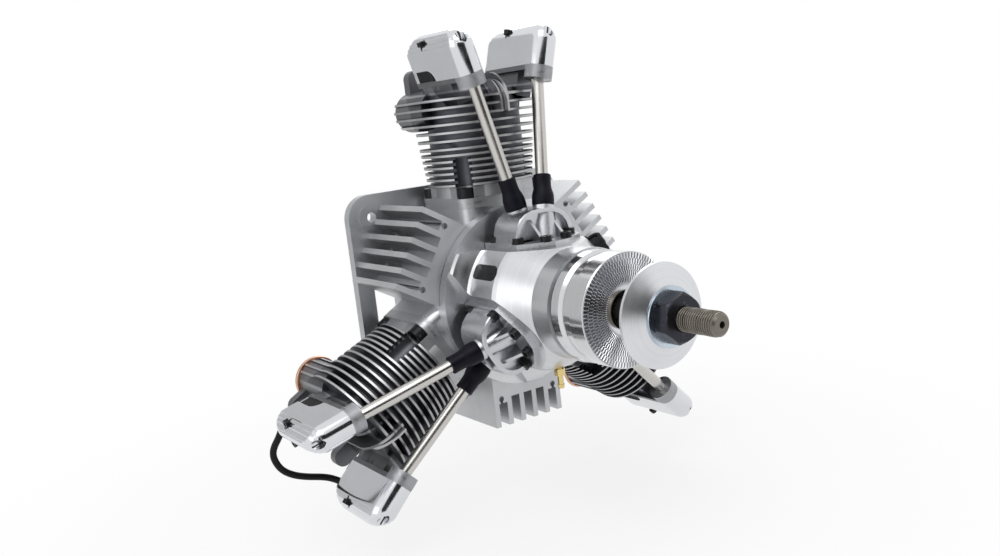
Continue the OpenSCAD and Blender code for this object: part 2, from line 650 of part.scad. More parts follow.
// Cup with inner teeth, turned at half crank speed, with one lobe on each of two tracks
module cam_ring() {
    color("silver") difference() {
        union() {
            along_x(cam_base_r, gear_x - 0.2, 85);
            for (s = SIDES) translate([track(s) - 2.4, 0, 0]) rotate([s * 55 - 90, 0, 0]) rotate([90, 0, 90])
                linear_extrude(4.8) union() {
                    translate([0, cam_peak_r - 5]) circle(r = 5);
                    polygon([[-13.5, 10], [13.5, 10], [4.6, cam_peak_r - 3.1], [-4.6, cam_peak_r - 3.1]]);
                }
        }
        translate([gear_x - 1, 0, 0]) rotate([90, 0, 90]) linear_extrude(gear_t + 2) rotate(180 / ring_teeth)
            gear_outline(ring_teeth, -0.12, 0.75, 0.5);
        along_x(13.2, gear_x + gear_t, 82);
        along_x(cam_journal_r + run_gap, gear_x - 2, 90);
    }
}
module idler_gear() {
    color("goldenrod") translate([gear_x, 0, idler_place]) rotate([90, 0, 90]) difference() {
        linear_extrude(gear_t) rotate(180 / idler_teeth) gear_outline(idler_teeth, 0.12, 0.45, 0.72);
        translate([0, 0, -1]) cylinder(r = idler_pin_r + run_gap, h = gear_t + 2);
    }
}

// Height of the wrist pin with the crankpin at the top of its circle
function pin_height(k) = throw * cos(120 * (k - 1)) + sqrt(pow(rod_len, 2) - pow(throw * sin(120 * (k - 1)), 2));
function rod_lean(k) = asin(-throw * sin(120 * (k - 1)) / rod_len);
module piston_k(k) {
    color("silver") at_cylinder(k) translate([cyl_x, 0, pin_height(k)]) {
        difference() {
            translate([0, 0, -9]) cylinder(r = bore_r - run_gap, h = 9 + crown_h);
            difference() {
                translate([0, 0, -10]) cylinder(r = bore_r - 2.6, h = 10 + crown_h - 3.5);
                for (i = SIDES) translate([i * 13, 0, 0]) union() {
                    rotate([0, 90, 0]) cylinder(r = 5.5, h = 10, center = true);
                    translate([-5, -5.5, 0]) cube([10, 11, 12]);
                }
            }
            rotate([0, 90, 0]) cylinder(r = wrist_pin_r + eps, h = 60, center = true);
            for (z = [9, 6]) translate([0, 0, z - 1]) difference() {
                cylinder(r = bore_r + 1, h = 1.4);
                translate([0, 0, -1]) cylinder(r = bore_r - 1.6, h = 4);
            }
        }
        difference() {
            rotate([0, 90, 0]) cylinder(r = wrist_pin_r, h = 32, center = true);
            rotate([0, 90, 0]) cylinder(r = 1.6, h = 40, center = true);
        }
        for (z = [9, 6]) translate([0, 0, z - 0.9]) difference() {
            cylinder(r = bore_r - 0.03, h = 1.2);
            translate([0, 0, -1]) cylinder(r = bore_r - 1.5, h = 4);
        }
    }
}
// Rods run side by side on one crankpin, so each carries its own slice of that pin
module connecting_rod_k(k) {
    lane = k == 1 ? 0 : (k == 2 ? -1 : 1);
    color("silver") at_cylinder(k) translate([cyl_x + lane * rod_pitch - rod_t / 2, 0, pin_height(k)])
        rotate([rod_lean(k), 0, 0]) rotate([90, 0, 90]) {
            linear_extrude(rod_t) difference() {
                union() {
                    circle(r = 5.2);
                    translate([0, -rod_len]) circle(r = 7.4);
                    polygon([[-3.2, -3], [3.2, -3], [4.4, -rod_len + 4], [-4.4, -rod_len + 4]]);
                }
                circle(r = wrist_pin_r + run_gap);
                translate([0, -rod_len]) circle(r = crankpin_r + run_gap);
            }
            translate([0, -rod_len, 0]) cylinder(r = crankpin_r, h = rod_t);
        }
}

// Tappet and pushrod as one turned piece with domed ends
module pushrod(k, s) {
    foot_r = cam_peak_r + tappet_gap + tappet_r;
    tip_r = seam_r + (pivot_z - push_end_r - tip_gap - pushrod_r) * cos(box_tilt);
    neck = (38 - foot_r) / line_dir(s)[2];
    len = (tip_r - foot_r) / line_dir(s)[2];
    color("silver") at_cylinder(k) line_frame(s, foot_r) rotate_extrude() polygon(concat(
        [for (a = [0:15:90]) [tappet_r * sin(a), -tappet_r * cos(a)]],
        [[tappet_r, neck], [pushrod_r, neck + 1]],
        [for (a = [0:15:90]) [pushrod_r * cos(a), len + pushrod_r * sin(a)]]));
}
module rocker(k, s) {
    end_x = box_x_at(s, pivot_z) - pivot_x;
    color("dimgray") at_cylinder(k) box_frame(s) translate([pivot_x, 0, pivot_z]) rotate([90, 0, 0])
        linear_extrude(rocker_t, center = true) difference() {
            union() {
                circle(r = 3.8);
                translate([cyl_x - pivot_x, 0]) circle(r = rocker_end_r);
                translate([end_x, 0]) circle(r = push_end_r);
                polygon([[cyl_x - pivot_x, -rocker_end_r + 0.4], [0, -3], [end_x, -push_end_r + 0.3],
                    [end_x, push_end_r - 0.1], [0, 3.7], [cyl_x - pivot_x, rocker_end_r - 0.1]]);
            }
            circle(r = rocker_pin_r + run_gap);
        }
}
module valve(k, s) {
    tip_z = pivot_z - rocker_end_r - tip_gap;
    color("silver") at_cylinder(k) box_frame(s) translate([cyl_x, 0, 0]) rotate_extrude()
        polygon([[0, seat_z - 2.2], [valve_head_r, seat_z - 2.2], [valve_head_r, seat_z - 1.3],
            [stem_r + 0.6, seat_z + 2.1], [stem_r, seat_z + 4], [stem_r, retainer_z], [4, retainer_z + 0.4],
            [4, retainer_z + 1.4], [stem_r, retainer_z + 1.8], [stem_r, tip_z], [0, tip_z]]);
}
module valve_springs() {
    turns = 5;
    pitch = (retainer_z - pocket_z) / turns;
    color("gray") on_each_cylinder() for (s = SIDES) box_frame(s) translate([cyl_x, 0, pocket_z])
        rotate_extrude() polygon(concat([for (i = [0:turns - 1], q = [0, 1]) [q == 0 ? 3.3 : 3.9, (i + q / 2) * pitch]],
            [[3.3, retainer_z - pocket_z - 0.02], [2.5, retainer_z - pocket_z - 0.02], [2.5, 0]]));
}

module carburettor() {
    color("darkgray") difference() {
        union() {
            along_x(13, carb_x + 10, carb_x + 14);
            translate([carb_x - 12, -11, -13]) cube([24, 22, 26]);
            along_x(inlet_r + 2, carb_x - 18, carb_x - 11);
            translate([carb_x, 0, 0]) cylinder(r = 10.6, h = 15);
        }
        along_x(air_bore_r, carb_x - 19, carb_x + 15);
        along_x(inlet_r, carb_x - 19, carb_x - 10);
        translate([carb_x, 0, -11]) cylinder(r = barrel_valve_r + run_gap, h = 30);
    }
}
// Turning barrel with a cross bore and a lever on top
module throttle_barrel() {
    color("gray") translate([carb_x, 0, 0]) union() {
        difference() {
            translate([0, 0, -10.7]) cylinder(r = barrel_valve_r, h = 27);
            along_x(air_bore_r, -20, 20);
        }
        translate([0, 0, 16]) linear_extrude(2) union() {
            circle(r = 5);
            translate([-2.5, 0]) square([5, 18]);
            translate([0, 18]) circle(r = 3.4);
        }
    }
}

// Centre line of the rubber hose between the rocker boxes of cylinder 3, in its cylinder frame
HOSE = [[20.4, 22.8, 122.5], [18.4, 22.7, 124.8], [17.1, 21.7, 126.9], [16.1, 20, 129], [15.3, 18.2, 131.2],
    [14.4, 16.6, 133.6], [13.4, 15.2, 135.9], [12.5, 13.4, 137.9], [11.8, 11.1, 139.4], [11.2, 8.4, 140.2],
    [10.8, 5.5, 140.6], [10.6, 2.6, 140.6], [10.5, -0.2, 140], [10.6, -2.9, 138.9], [10.9, -5.4, 137.5],
    [11.2, -7.7, 135.8], [11.6, -9.9, 134], [12.1, -12, 132], [12.8, -14, 129.9], [13.7, -15.9, 128],
    [14.9, -17.8, 126.3], [16.6, -19.8, 125], [18.5, -21.7, 123.9], [20.4, -23.5, 122.8]];
hose_r = 1.7;
function unit(v) = v / norm(v);
// Direction of the hose at one of its ends
function hose_way(i) = unit(i == 0 ? HOSE[0] - HOSE[1] : HOSE[i] - HOSE[i - 1]);
function tangent(P, i) = unit(P[min(i + 1, len(P) - 1)] - P[max(i - 1, 0)]);
function side_of(d) = unit(cross(d, [1, 0.01, 0.02]));
module tube_along(P, r, n) {
    m = len(P);
    pts = [for (i = [0:m - 1]) let (d = tangent(P, i), a = side_of(d), b = cross(d, a))
        for (j = [0:n - 1]) P[i] + r * (cos(360 * j / n) * a + sin(360 * j / n) * b)];
    walls = [for (i = [0:m - 2]) for (j = [0:n - 1]) let (q = (j + 1) % n)
        [i * n + j, i * n + q, (i + 1) * n + q, (i + 1) * n + j]];
    polyhedron(pts, concat([[for (j = [n - 1:-1:0]) j]], walls, [[for (j = [0:n - 1]) (m - 1) * n + j]]));
}
module breather_hose() { color([0.06, 0.06, 0.06]) at_cylinder(3) tube_along(HOSE, hose_r, 8); }

// Pipe up the back of each cylinder that bends aside and then forward into the inlet port
module pipe_wall_2d() { difference() { circle(r = pipe_r); circle(r = pipe_r - pipe_wall); } }
module intake_pipes() {
    rise_r = port_r - pipe_bend;
    color("silver") on_each_cylinder() translate([pipe_x, 0, 0]) {
        translate([0, 0, pipe_socket_r]) linear_extrude(rise_r - pipe_socket_r) pipe_wall_2d();
        translate([0, -pipe_bend, rise_r]) rotate([90, 0, 90]) rotate_extrude(angle = 90) translate([pipe_bend, 0]) pipe_wall_2d();
        translate([pipe_bend, -pipe_bend, port_r]) rotate([0, 0, 180]) rotate_extrude(angle = 90) translate([pipe_bend, 0]) pipe_wall_2d();
    }
}
module spark_plugs() {
    color("gainsboro") on_each_cylinder() plug_place() {
        translate([0, 0, 3]) cylinder(d = 5.94, h = plug_seat);
        translate([0, 0, plug_seat]) cylinder(r = 5, h = 1.4);
        translate([0, 0, plug_seat + 1]) cylinder(r = 4.8, h = 5, $fn = 6);
        translate([0, 0, plug_seat + 5]) cylinder(r1 = 3, r2 = 2.4, h = 9);
        translate([0, 0, plug_seat + 13]) cylinder(r = 1.6, h = 4);
    }
}
module exhaust_rings() {
    color("darkorange") on_each_cylinder() translate([0, lobe_t, lobe_r]) ring_x(10, exhaust_r + 0.3, lobe_rear_x - 1.6, lobe_rear_x);
}
// Timing pick-up: a moulded foot on the nose with a hood arched over it
module ignition_sensor() {
    color([0.1, 0.1, 0.11]) rotate([-sensor_angle, 0, 0]) difference() {
        union() {
            translate([sensor_x, 0, drum_r - 4]) linear_extrude(5.4) rounded_rect(15, 9, 2);
            translate([sensor_x - 1, 0, drum_r + 1]) rotate([90, 0, 0]) cylinder(r = 5, h = 5, center = true);
        }
        translate([sensor_x - 1, 0, drum_r + 1.6]) rotate([90, 0, 0]) cylinder(r = 3, h = 12, center = true);
        revolve_x(nose_outline);
    }
}
module oil_nipple() {
    color("goldenrod") rotate([180, 0, 0]) translate([nipple_x, 0, drum_r - 3]) {
        cylinder(d = 2.94, h = 13);
        translate([0, 0, 3]) cylinder(d = 5.4, h = 3.4, $fn = 6);
        translate([0, 0, 11]) cylinder(r1 = 1.8, r2 = 1.5, h = 1.6);
    }
}

crankcase();
rear_cover();
mount_plate();
bracket(300);  // bracket_left
bracket(60);  // bracket_right
bracket(180);  // bracket_bottom
nose_housing();
tappet_housings();
cylinder_k(1);  // cylinder_1
cylinder_k(2);  // cylinder_2
cylinder_k(3);  // cylinder_3
rocker_covers_k(1);  // rocker_covers_1
rocker_covers_k(2);  // rocker_covers_2
rocker_covers_k(3);  // rocker_covers_3
pushrod_tubes();
tube_boots();
screws_m3();
screws_m4();
screws_m5();
main_bearings();
crankshaft();
prop_driver();
prop_washer();
lock_washer();
prop_nut();
cam_ring();
idler_gear();
piston_k(1);  // piston_1
piston_k(2);  // piston_2
piston_k(3);  // piston_3
connecting_rod_k(1);  // connecting_rod_1
connecting_rod_k(2);  // connecting_rod_2
connecting_rod_k(3);  // connecting_rod_3
pushrod(1, -1);  // pushrod_1_left
pushrod(1, 1);  // pushrod_1_right
pushrod(2, -1);  // pushrod_2_left
pushrod(2, 1);  // pushrod_2_right
pushrod(3, -1);  // pushrod_3_left
pushrod(3, 1);  // pushrod_3_right
rocker(1, -1);  // rocker_1_left
rocker(1, 1);  // rocker_1_right
rocker(2, -1);  // rocker_2_left
rocker(2, 1);  // rocker_2_right
rocker(3, -1);  // rocker_3_left
rocker(3, 1);  // rocker_3_right
valve(1, -1);  // valve_1_left
valve(1, 1);  // valve_1_right
valve(2, -1);  // valve_2_left
valve(2, 1);  // valve_2_right
valve(3, -1);  // valve_3_left
valve(3, 1);  // valve_3_right
valve_springs();
carburettor();
throttle_barrel();
breather_hose();
intake_pipes();
spark_plugs();
exhaust_rings();
ignition_sensor();
oil_nipple();
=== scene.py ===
"""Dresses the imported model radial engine: camera, light, hose, finishes and fine detail."""

import json
import math

import bmesh
import bpy
from mathutils import Matrix, Vector


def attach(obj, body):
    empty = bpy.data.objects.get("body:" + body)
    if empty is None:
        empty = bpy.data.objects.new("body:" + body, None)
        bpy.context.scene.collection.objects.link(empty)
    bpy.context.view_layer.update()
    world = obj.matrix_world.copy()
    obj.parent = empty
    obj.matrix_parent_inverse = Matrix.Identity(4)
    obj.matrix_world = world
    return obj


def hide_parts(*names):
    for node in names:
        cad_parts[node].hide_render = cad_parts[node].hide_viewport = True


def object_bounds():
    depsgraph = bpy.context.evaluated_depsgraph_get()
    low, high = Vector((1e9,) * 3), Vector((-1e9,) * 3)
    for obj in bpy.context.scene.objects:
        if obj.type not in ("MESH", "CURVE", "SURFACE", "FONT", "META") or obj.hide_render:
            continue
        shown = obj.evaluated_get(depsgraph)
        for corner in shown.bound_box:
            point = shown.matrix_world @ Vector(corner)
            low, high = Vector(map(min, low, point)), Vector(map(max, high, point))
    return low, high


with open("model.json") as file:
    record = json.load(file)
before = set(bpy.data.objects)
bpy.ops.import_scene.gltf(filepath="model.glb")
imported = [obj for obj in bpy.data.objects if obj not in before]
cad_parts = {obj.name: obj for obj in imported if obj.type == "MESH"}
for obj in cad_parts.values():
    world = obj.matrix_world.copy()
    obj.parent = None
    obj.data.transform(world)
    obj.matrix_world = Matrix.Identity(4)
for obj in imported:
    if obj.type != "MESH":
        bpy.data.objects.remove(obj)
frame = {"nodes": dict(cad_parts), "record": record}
cad_lo, cad_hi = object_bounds()
scene = bpy.context.scene

# Sizes that this file shares with the solids, in millimetres
MM = 0.001
CYLINDER_X = 30.0
# Rocker box: tilt, middle of its joint line, ends, width, and the cover on it
BOX_TILT = math.radians(15.5)
SEAM_T, SEAM_R = 20.9, 111.9
BOX_REAR_X, BOX_MID_X, BOX_L, BOX_W, BOX_CORNER = 20.0, 45.0, 50.0, 13.5, 6.4
COVER_H, COVER_WALL = 22.0, 1.4
# Pushrod line: its foot on the cam's peak in the track of each side, its top, and the boot's seat
TRACK_X = {-1: 70.2, 1: 80.5}
CAM_PEAK_R = 19.6
TUBE_TOP = (63.6, 18.4, 103.4)
BOSS_TOP_R = 44.6
# Propeller driver's serrated face, the shaft's thread, and the nose drum
DRIVER_X, DRIVER_FACE_IN, DRIVER_FACE_OUT = 138.3, 12.7, 25.7
THREAD_R, THREAD_PITCH, THREAD_START, THREAD_END = 5.0, 1.25, 173.3, 191.8
DRUM_R = 35.5
SIDES = (-1, 1)
CYLINDERS = (1, 2, 3)


def cylinder_frame(number):
    """Matrix from a cylinder's own frame (x forward, y clockwise, z outward) to the engine's."""
    return Matrix.Rotation(-math.radians(120 * (number - 1)), 4, "X")


def box_frame(number, side):
    """Matrix from the frame on a rocker box's joint line to the engine's, in millimetres."""
    place = Matrix.Translation((0, side * SEAM_T, SEAM_R))
    return cylinder_frame(number) @ place @ Matrix.Rotation(-side * BOX_TILT, 4, "X")


def line_frame(number, side, height):
    """Matrix that stands z along a pushrod line, with its zero at a height over the crankshaft."""
    start = Vector((TRACK_X[side], 0, CAM_PEAK_R))
    along = (Vector((TUBE_TOP[0], side * TUBE_TOP[1], TUBE_TOP[2])) - start).normalized()
    place = start + along * ((height - CAM_PEAK_R) / along.z)
    turn = along.to_track_quat("Z", "Y").to_matrix().to_4x4()
    return cylinder_frame(number) @ Matrix.Translation(place) @ turn


# ---------------------------------------------------------------- camera
# The view that the photograph was taken from: its axes, and the camera's place in metres
VIEW_RIGHT = Vector((0.558903, 0.821527, -0.112791))
VIEW_UP = Vector((-0.077242, 0.187004, 0.979318))
VIEW_BACK = Vector((0.825628, -0.538631, 0.167973))
VIEW_PLACE = Vector((0.465880, -0.279187, 0.093722))


def make_camera():
    data = bpy.data.cameras.new("camera")
    data.sensor_width = 36.0
    data.lens = 35.594
    data.clip_start, data.clip_end = 0.01, 20.0
    camera = bpy.data.objects.new("camera", data)
    turn = Matrix((VIEW_RIGHT, VIEW_UP, VIEW_BACK)).transposed()
    camera.matrix_world = Matrix.Translation(VIEW_PLACE) @ turn.to_4x4()
    scene.collection.objects.link(camera)
    scene.camera = camera


make_camera()


# ---------------------------------------------------------------- node tools
class Socket:
    """An output socket; an expression on it adds the Math nodes that compute it."""

    def __init__(self, owner, link):
        self.owner, self.link = owner, link

    def maths(self, operation, *values):
        return self.owner.node("ShaderNodeMath", {"operation": operation}, dict(enumerate(values)))

    def __add__(self, other):
        return self.maths("ADD", self, other)

    __radd__ = __add__

    def __sub__(self, other):
        return self.maths("SUBTRACT", self, other)

    def __rsub__(self, other):
        return self.maths("SUBTRACT", other, self)

    def __mul__(self, other):
        return self.maths("MULTIPLY", self, other)

    __rmul__ = __mul__

    def __truediv__(self, other):
        return self.maths("DIVIDE", self, other)

    def __rtruediv__(self, other):
        return self.maths("DIVIDE", other, self)

    def __abs__(self):
        return self.maths("ABSOLUTE", self)

    def root(self):
        return self.maths("SQRT", self)

    def most(self, other):
        return self.maths("MAXIMUM", self, other)

    def from_row(self, first, pitch):
        """Distance from the nearest of the planes that stand a pitch apart."""
        return abs(self.maths("WRAP", (self - first) / pitch, 0.5, -0.5)) * pitch


class Nodes:
    """A node tree; its methods return sockets that expressions can use."""

    def __init__(self, tree):
        self.tree = tree

    def node(self, kind, settings=None, inputs=None, output=0):
        made = self.tree.nodes.new(kind)
        for key, value in (settings or {}).items():
            setattr(made, key, value)
        for key, value in (inputs or {}).items():
            self.feed(made.inputs[key], value)
        return Socket(self, made.outputs[output])

    def feed(self, socket, value):
        if isinstance(value, Socket):
            self.tree.links.new(value.link, socket)
        else:
            socket.default_value = value

    def seen_rays(self):
        """1 for rays that see the backdrop itself: from the camera, and by gloss or glass."""
        path = self.node("ShaderNodeLightPath").link.node
        camera, gloss, glass = [
            Socket(self, path.outputs[f"Is {name} Ray"]) for name in ("Camera", "Glossy", "Transmission")
        ]
        return camera.most(gloss).most(glass)


class Finish(Nodes):
    """One procedural material."""

    def __init__(self, name, colour, metallic=1.0, roughness=0.4):
        self.material = bpy.data.materials.new(name)
        self.material.use_nodes = True
        self.material.diffuse_color = (*colour, 1)
        super().__init__(self.material.node_tree)
        self.shader = self.tree.nodes["Principled BSDF"]
        self.set("Base Color", (*colour, 1))
        self.set("Metallic", metallic)
        self.set("Roughness", roughness)

    def set(self, name, value):
        self.feed(self.shader.inputs[name], value)

    def place(self):
        return self.node("ShaderNodeTexCoord", output="Object")

    def axes(self, vector=None):
        split = self.node("ShaderNodeSeparateXYZ", inputs={0: vector or self.place()})
        return [Socket(self, split.link.node.outputs[i]) for i in range(3)]

    def vector(self, x, y, z):
        return self.node("ShaderNodeCombineXYZ", inputs={0: x, 1: y, 2: z})

    def noise(self, scale, detail=3.0, rough=0.55, vector=None):
        inputs = {"Vector": vector or self.place(), "Scale": scale, "Detail": detail, "Roughness": rough}
        return self.node("ShaderNodeTexNoise", inputs=inputs)

    def step(self, value, low, high):
        """0 below low, 1 above high, smooth between; low may be the larger."""
        return self.node("ShaderNodeMapRange", {"interpolation_type": "SMOOTHSTEP"}, {0: value, 1: low, 2: high})

    def remap(self, value, low, high):
        """Low where a noise is 0.3 or less, high where it is 0.7 or more."""
        return self.node("ShaderNodeMapRange", None, {0: value, 1: 0.3, 2: 0.7, 3: low, 4: high})

    def mix(self, share, first, second):
        """The first colour where share is 0, the second where it is 1."""
        ends = [shade if isinstance(shade, Socket) else (*shade, 1) for shade in (first, second)]
        return self.node("ShaderNodeMix", {"data_type": "RGBA"}, {0: share, 6: ends[0], 7: ends[1]}, output=2)

    def bump(self, height, strength, distance=0.0002):
        inputs = {"Strength": strength, "Distance": distance, "Height": height}
        self.set("Normal", self.node("ShaderNodeBump", inputs=inputs))


def darker(colour, share):
    return tuple(c * share for c in colour)


def from_axis(finish):
    """Distance along the crankshaft and distance from its axis."""
    x, y, z = finish.axes()
    return x, (y * y + z * z).root()


def cast_finish(name, colour, rough=0.45, grain=2600, strength=0.25, metallic=0.9):
    """Bead-blasted or sand-cast metal: fine grain, slight mottling."""
    made = Finish(name, colour, metallic)
    grains = made.noise(grain, 4.0, 0.6)
    clouds = made.noise(45, 3.0)
    made.set("Base Color", made.mix(made.remap(clouds, 0.0, 1.0), darker(colour, 0.86), colour))
    made.set("Roughness", made.remap(grains, rough - 0.08, rough + 0.1))
    made.bump(grains, strength, 0.00012)
    return made


def turned_finish(name, colour, rough=0.25, pitch=0.0004, strength=0.12):
    """Lathe-turned metal: fine rings about the crankshaft axis."""
    made = Finish(name, colour)
    x, radius = from_axis(made)
    rings = made.noise(1.0, 2.0, 0.6, made.vector((x + radius) / pitch, radius / pitch * 0.7, 0.0))
    clouds = made.noise(60, 3.0)
    made.set("Base Color", made.mix(made.remap(rings, 0.0, 1.0), darker(colour, 0.88), colour))
    made.set("Roughness", made.remap(clouds, rough - 0.05, rough + 0.08))
    made.bump(rings, strength, 0.0001)
    return made


def polished_finish(name, colour, rough=0.08):
    """Bright plating with a faint ripple, smudges and hair-fine scratches."""
    made = Finish(name, colour)
    smudges = made.noise(70, 4.0, 0.6)
    scratches = made.noise(900, 2.0, 0.5)
    ripple = made.noise(38, 1.0)
    made.set("Roughness", made.remap(smudges, rough, rough + 0.09) + scratches * 0.03)
    made.set("Base Color", made.mix(made.remap(smudges, 0.0, 1.0), darker(colour, 0.95), colour))
    made.bump(ripple * 0.8 + scratches * 0.02, 0.12, 0.0006)
    return made


def rubber_finish(name, colour, rough=0.55):
    """Dull rubber or plastic with a faint bloom."""
    made = Finish(name, colour, 0.0)
    made.set("Specular IOR Level", 0.14)
    grains = made.noise(1800, 3.0)
    bloom = made.noise(55, 3.0)
    dusty = tuple(c + 0.004 for c in colour)
    made.set("Base Color", made.mix(made.remap(bloom, 0.0, 1.0), colour, dusty))
    made.set("Roughness", made.remap(bloom, rough - 0.08, rough + 0.12))
    made.bump(grains, 0.15, 0.0001)
    return made


def driver_finish():
    """Turned silver, with painted shade on the face between the serration teeth and a painted black shadow at the
    bore.
    """
    made = turned_finish("driver_turned", (0.7, 0.71, 0.73), 0.16, 0.0005, 0.08)
    x, radius = from_axis(made)
    on_face = made.step(x, 0.1379, 0.1381) * made.step(x, 0.13845, 0.1384)
    # Face behind the serration teeth: painted shade, a darker grey
    valley_shade = on_face * made.step(radius, 0.0124, 0.0127)
    # Black near the bore: a painted shadow
    bore = made.step(radius, 0.0095, 0.0091) * made.step(x, 0.130, 0.131)
    plain = Socket(made, made.shader.inputs["Base Color"].links[0].from_socket)
    cut = made.mix(valley_shade, plain, (0.36, 0.36, 0.38))
    made.set("Base Color", made.mix(bore, cut, (0.01, 0.01, 0.01)))
    return made


def oxide_finish(name, colour, rough=0.32):
    """Blackened steel with a thin oil sheen and paler worn patches."""
    made = Finish(name, colour, 0.85)
    wear = made.noise(420, 4.0, 0.65)
    made.set("Base Color", made.mix(made.step(wear, 0.62, 0.8), colour, (0.22, 0.22, 0.24)))
    made.set("Roughness", made.remap(wear, rough, rough + 0.15))
    made.bump(wear, 0.1, 0.0001)
    return made


# Fins of a cylinder, in metres from the crankshaft axis: the first of each row and its pitch
BARREL_FINS, HEAD_FINS, HEAD_START = (0.0584, 0.00302), (0.1009, 0.00405), 0.07505
# Reach of the lowest fin from the cylinder's axis, and its growth with height
FIN_REACH, FIN_GROWTH = 0.0275, 0.11


def cylinder_finish(number):
    """Cast cylinder: painted shade between its fins, bright machined fin edges, foot and box bases, with a painted
    shadow on the box bases under the covers.
    """
    made = Finish(f"cylinder_{number}_cast", (0.4, 0.4, 0.42), 0.9)
    turn = cylinder_frame(number).inverted()
    place = made.place()
    x, aside, height = [
        made.node("ShaderNodeVectorMath", {"operation": "DOT_PRODUCT"}, {0: place, 1: row[:3]}, output="Value")
        for row in turn[:3]
    ]
    across = x - CYLINDER_X * MM
    reach = (across * across + aside * aside).root()
    tip = (height - BARREL_FINS[0]) * FIN_GROWTH + FIN_REACH
    in_head = made.step(height, HEAD_START - 0.00001, HEAD_START + 0.00001)
    low_row, high_row = height.from_row(*BARREL_FINS), height.from_row(*HEAD_FINS)
    off_row = low_row + (high_row - low_row) * in_head
    line = made.step(off_row, 0.00062, 0.0004)
    arch = made.step(height, 0.098, 0.0985) * made.step(abs(aside), 0.0062, 0.006)
    edge = made.step(reach - tip, -0.0009, -0.0004) * line.most(arch)
    lobe = made.step(reach - tip, 0.0002, 0.001)
    in_fins = made.step(height, 0.0572, 0.0577) * made.step(height, 0.1045, 0.1035)
    top = made.step(height, 0.1035, 0.1055)
    grains = made.noise(2400, 4.0, 0.6)
    clouds = made.noise(70, 4.0)
    # Fin sides and barrel between the fins: painted shade, near black, mottled like the casting
    cast = made.mix(made.remap(clouds, 0.0, 1.0), (0.075, 0.078, 0.09), (0.14, 0.145, 0.165))
    finned = made.mix(edge, made.mix(lobe, cast, (0.2, 0.2, 0.215)), (0.46, 0.46, 0.47))
    # Box base behind the front collar: a painted shadow from the cover over it; the collar itself stays grey
    collar_and_under_cover_shadow = made.mix(made.step(x, 0.0600, 0.0615), (0.17, 0.172, 0.185), (0.4, 0.405, 0.425))
    plain = made.mix(top, (0.56, 0.57, 0.59), collar_and_under_cover_shadow)
    shade = made.mix(in_fins, plain, finned)
    made.set("Base Color", made.mix(made.remap(clouds, 0.0, 0.25), shade, (0.12, 0.12, 0.13)))
    made.set("Roughness", made.remap(grains, 0.36, 0.52) - edge * 0.12)
    made.bump(grains, 0.28, 0.00014)
    return made


FINISHES = {
    "chrome_cover": polished_finish("cover_chrome", (0.7, 0.71, 0.74)),
    "case_satin": turned_finish("case_turned", (0.66, 0.67, 0.69), 0.3, 0.00035, 0.1),
    "machined_silver": cast_finish("tappet_machined", (0.6, 0.61, 0.635), 0.32, 1500, 0.1, 1.0),
    "bracket_satin": cast_finish("bracket_blasted", (0.58, 0.59, 0.61), 0.4, 2600, 0.12),
    "tube_polish": polished_finish("tube_steel", (0.6, 0.585, 0.56), 0.2),
    "boot_rubber": rubber_finish("boot_rubber", (0.002, 0.002, 0.007), 0.42),
    "black_screw": oxide_finish("screw_black_oxide", (0.025, 0.025, 0.028)),
    "grey_rod": cast_finish("rod_steel", (0.33, 0.33, 0.35), 0.35, 1200, 0.08, 1.0),
    "bearing_steel": polished_finish("bearing_ground", (0.62, 0.62, 0.64), 0.14),
    "shaft_steel": oxide_finish("shaft_oiled_steel", (0.2, 0.18, 0.155), 0.26),
    "driver_silver": driver_finish(),
    "washer_silver": turned_finish("washer_turned", (0.76, 0.77, 0.8), 0.32, 0.0003, 0.03),
    "zinc": cast_finish("washer_zinc", (0.6, 0.68, 0.76), 0.22, 1400, 0.06, 1.0),
    "gunmetal": oxide_finish("nut_black_oxide", (0.035, 0.036, 0.045), 0.24),
    "brass": turned_finish("brass_bright", (0.76, 0.6, 0.27), 0.22, 0.0006, 0.06),
    "copper": cast_finish("copper_ring", (0.76, 0.45, 0.32), 0.3, 1400, 0.1, 1.0),
    "hose_rubber": rubber_finish("hose_rubber", (0.008, 0.008, 0.009), 0.45),
    "black_plastic": rubber_finish("pickup_plastic", (0.012, 0.012, 0.014), 0.5),
    "carburettor_metal": cast_finish("carburettor_cast", (0.5, 0.5, 0.52), 0.42, 2200, 0.2),
    "plug_steel": turned_finish("plug_plated", (0.72, 0.72, 0.74), 0.2, 0.0006, 0.06),
    "pipe_steel": cast_finish("pipe_brushed", (0.66, 0.67, 0.69), 0.3, 900, 0.06, 1.0),
    "inner_steel": polished_finish("inner_ground_steel", (0.58, 0.58, 0.6), 0.2),
}


def dress_nodes():
    slots = {part["node"]: part["material_slot"] for part in frame["record"]["subparts"]}
    for name, node in frame["nodes"].items():
        if name.startswith("cylinder_"):
            finish = cylinder_finish(int(name[-1]))
        else:
            finish = FINISHES[slots[name]]
        node.data.materials.clear()
        node.data.materials.append(finish.material)


dress_nodes()


# ---------------------------------------------------------------- mesh tools
SHARP_FROM = math.radians(32)


def add_piece(name, build, slot, body="crankcase", material=None):
    """Makes a piece from a bmesh that is in the engine's frame in millimetres."""
    mesh = bpy.data.meshes.new(name)
    bmesh.ops.remove_doubles(build, verts=build.verts, dist=1e-5)
    bmesh.ops.recalc_face_normals(build, faces=build.faces)
    bmesh.ops.scale(build, vec=(MM, MM, MM), verts=build.verts)
    build.to_mesh(mesh)
    build.free()
    piece = bpy.data.objects.new(name, mesh)
    scene.collection.objects.link(piece)
    mesh.materials.append(material or FINISHES[slot].material)
    mesh.shade_smooth()
    mesh.set_sharp_from_angle(angle=SHARP_FROM)
    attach(piece, body)
    return piece


